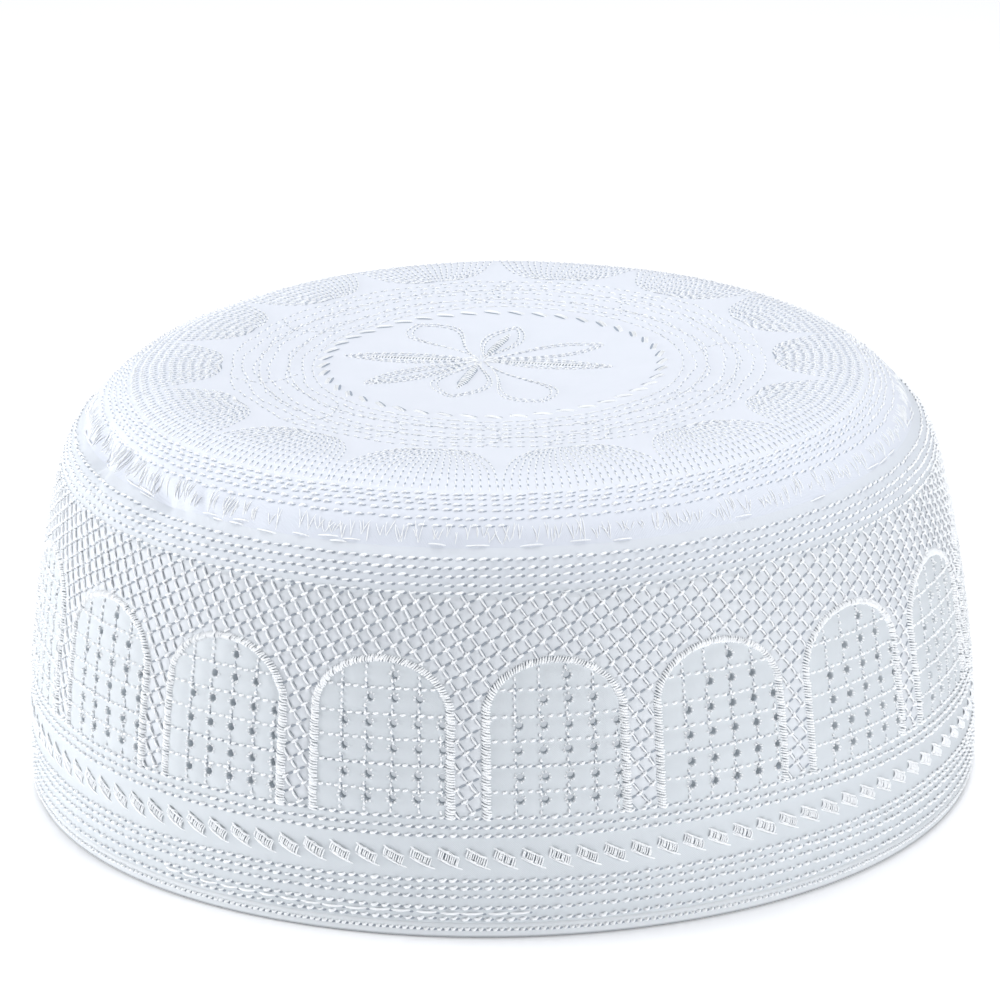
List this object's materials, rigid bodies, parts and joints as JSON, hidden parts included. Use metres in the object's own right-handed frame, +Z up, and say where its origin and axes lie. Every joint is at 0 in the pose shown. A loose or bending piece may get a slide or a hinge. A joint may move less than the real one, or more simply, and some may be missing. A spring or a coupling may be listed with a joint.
{
  "type": "kufi cap",
  "caption": "Round white embroidered cap with a flat crown and a stiff side band pierced with eyelets under a row of arches, standing on its hem.",
  "frame": {"origin": "centre of the hem's ring, at the level that the cap stands on", "axes": "+Z up through the crown; -Y is the front that the picture shows; the cap is almost round about +Z"},
  "size_m": [0.1886, 0.1916, 0.0825],
  "materials": {
    "hem_cloth": "white polished cotton blend folded double, edge-stitched",
    "band_cloth": "white polished cotton blend over stiffening, machine embroidered, with punched eyelets",
    "crown_cloth": "white polished cotton blend over stiffening, machine embroidered",
    "embroidery_thread": "white rayon embroidery thread with a satin sheen"
  },
  "bodies": {
    "root": {"hem_edge": "hem_cloth", "side_band": "band_cloth", "crown_panel": "crown_cloth"}
  },
  "joints": []
}
